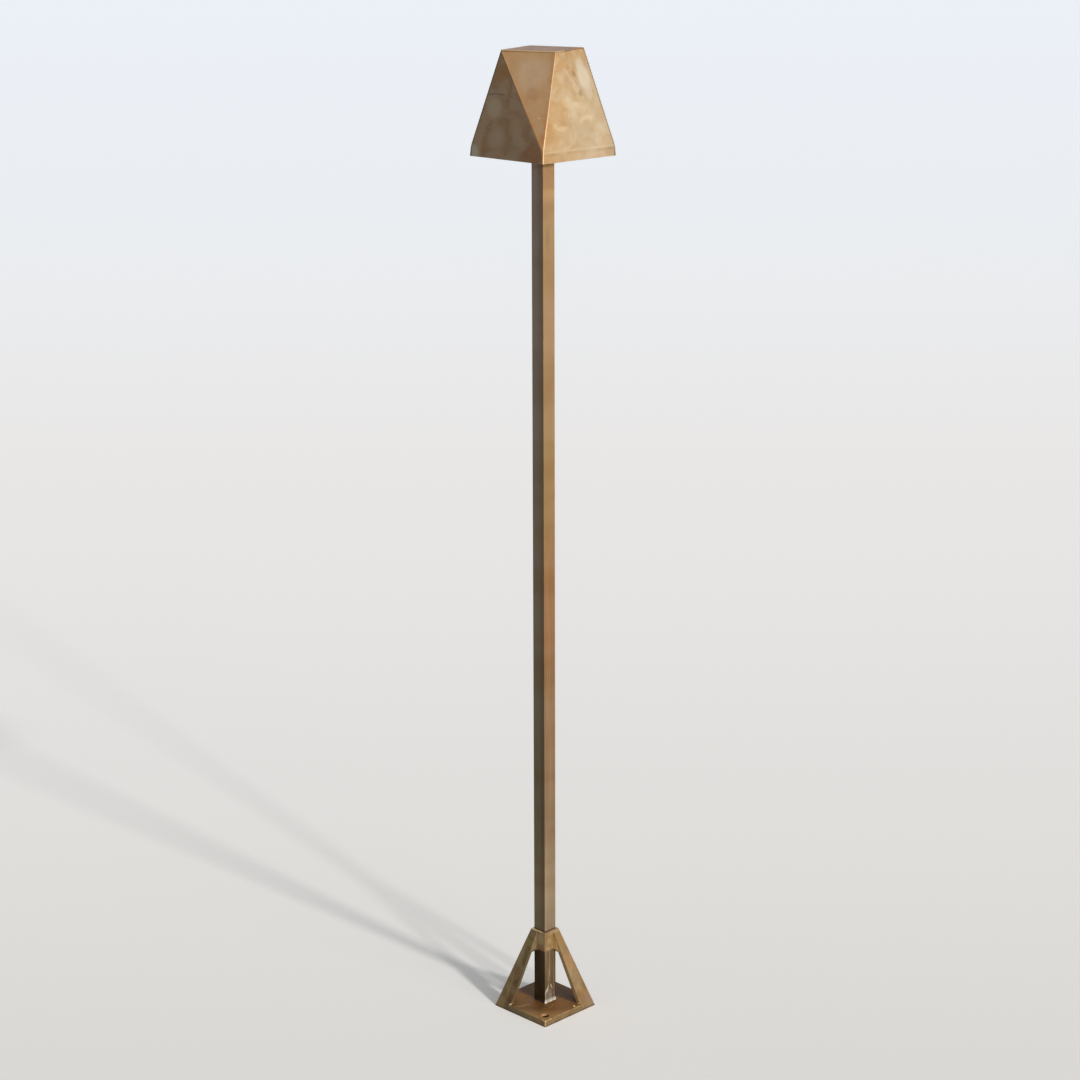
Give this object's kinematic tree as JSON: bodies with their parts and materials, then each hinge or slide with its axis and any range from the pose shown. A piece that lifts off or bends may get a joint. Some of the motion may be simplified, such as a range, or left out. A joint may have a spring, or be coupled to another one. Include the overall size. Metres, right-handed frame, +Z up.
{
  "type": "path light",
  "caption": "Tall garden path light: slim square stem on a square bolt-down plate, steadied by a two-legged yoke, with a twisted four-sided shade over a plug-in lamp.",
  "frame": {"origin": "on the ground, under the middle of the base plate and on the stem's axis", "axes": "+Z up the stem; the plate's corners lie on the X and Y axes, the yoke's legs stand on the -X and +X corners, and -Y is the front"},
  "size_m": [0.1418, 0.1418, 0.9942],
  "materials": {
    "plate_brass": "aged, brown patina with rubbed edges",
    "stem_brass": "aged, drawn tube with a thin patina",
    "shade_brass": "aged, clouded patina",
    "inner_brass": "plain turned and bent brass, dulled",
    "solder": "silver solder, uneven",
    "steel": "stainless",
    "rubber": "matt black",
    "ceramic": "unglazed white",
    "contact_metal": "nickel plated",
    "lamp_plastic": "white moulded",
    "lamp_lens": "frosted, pale warm white",
    "frosted_glass": "frosted",
    "wire_dark": "black insulation",
    "wire_light": "white insulation",
    "splice_sleeve": "red crimp sleeve"
  },
  "bodies": {
    "root": {"base_plate": "plate_brass", "yoke_collar": "plate_brass", "yoke_leg_left": "plate_brass", "yoke_leg_right": "plate_brass", "stem_tube": "stem_brass", "stem_solder": "solder", "cable_grommet": "rubber", "stem_hub": "inner_brass", "hub_screws": "steel", "lamp_socket": "ceramic", "lamp_contacts": "contact_metal", "socket_screws": "steel", "glass_gasket": "rubber", "shade_carrier": "inner_brass", "carrier_screws": "steel", "shade_peg": "inner_brass", "peg_screw": "steel", "lead_wire_left": "wire_dark", "lead_wire_right": "wire_light", "wire_splices": "splice_sleeve"},
    "shade": {"shade_shell": "shade_brass", "shade_top": "shade_brass", "shade_sleeve": "inner_brass"},
    "thumb_screw": {"thumb_screw": "inner_brass"},
    "glass": {"glass_cover": "frosted_glass"},
    "lamp": {"lamp_base": "lamp_plastic", "lamp_pins": "contact_metal", "lamp_cover": "lamp_lens"}
  },
  "joints": [
    {"name": "shade_lift", "type": "slide", "parent": "root", "child": "shade", "axis": [0, 0, 1], "range_m": [0, 0.11]},
    {"name": "thumb_screw_turn", "type": "hinge", "parent": "shade", "child": "thumb_screw", "pos_m": [0, -0.0124, 0.9842], "axis": [0, -1, 0], "range_deg": [0, 540]},
    {"name": "glass_lift", "type": "slide", "parent": "root", "child": "glass", "axis": [0, 0, 1], "range_m": [0, 0.008]},
    {"name": "lamp_pull", "type": "slide", "parent": "root", "child": "lamp", "axis": [0, 0, 1], "range_m": [0, 0.008]}
  ]
}
